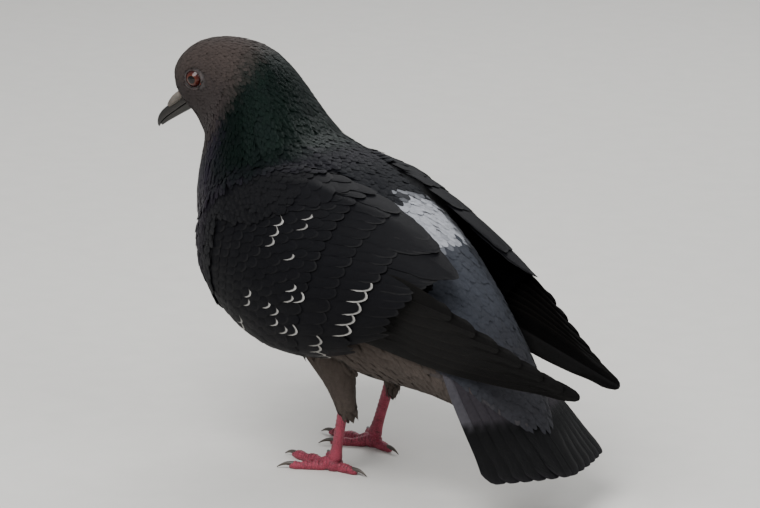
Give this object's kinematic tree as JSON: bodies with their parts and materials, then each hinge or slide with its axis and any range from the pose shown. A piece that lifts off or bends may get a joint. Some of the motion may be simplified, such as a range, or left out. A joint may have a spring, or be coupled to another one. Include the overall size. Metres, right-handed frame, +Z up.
{
  "type": "pigeon",
  "caption": "Life-size standing feral pigeon, head turned to its left, wings folded, tail lowered, dark with a pale lower back.",
  "frame": {"origin": "on the floor, under the middle of the bird's box", "axes": "+Z up; the bird faces -X; its left side is -Y and its right side is +Y"},
  "size_m": [0.2666, 0.112, 0.1944],
  "materials": {
    "head_feather": "soft matt feather, brownish slate",
    "neck_feather": "silky feather, near-black with a green and purple gloss",
    "body_feather": "soft feather, blue-grey rump with a pale lower back, grey-brown belly",
    "wing_feather": "close feather, blackish with small pale grey marks",
    "flight_feather": "stiff feather, brownish black",
    "tail_feather": "stiff feather, dark grey with a black end band",
    "leg_feather": "downy feather, grey-brown",
    "leg_skin": "scaly skin, pink-red",
    "horn": "horn of bill and claws, blackish, slightly glossy",
    "cere_skin": "powdery soft skin, greyish white",
    "eye": "glossy eye with an orange-red iris"
  },
  "bodies": {
    "root": {"head": "head_feather", "neck": "neck_feather", "trunk": "body_feather", "bill_upper": "horn", "bill_lower": "horn", "cere": "cere_skin", "tail": "tail_feather", "eye_left": "eye", "wing_left": "wing_feather", "primaries_left": "flight_feather", "thigh_left": "leg_feather", "shank_left": "leg_skin", "foot_left": "leg_skin", "claw_left_hind": "horn", "claw_left_inner": "horn", "claw_left_middle": "horn", "claw_left_outer": "horn", "eye_right": "eye", "wing_right": "wing_feather", "primaries_right": "flight_feather", "thigh_right": "leg_feather", "shank_right": "leg_skin", "foot_right": "leg_skin", "claw_right_hind": "horn", "claw_right_inner": "horn", "claw_right_middle": "horn", "claw_right_outer": "horn"}
  },
  "joints": []
}
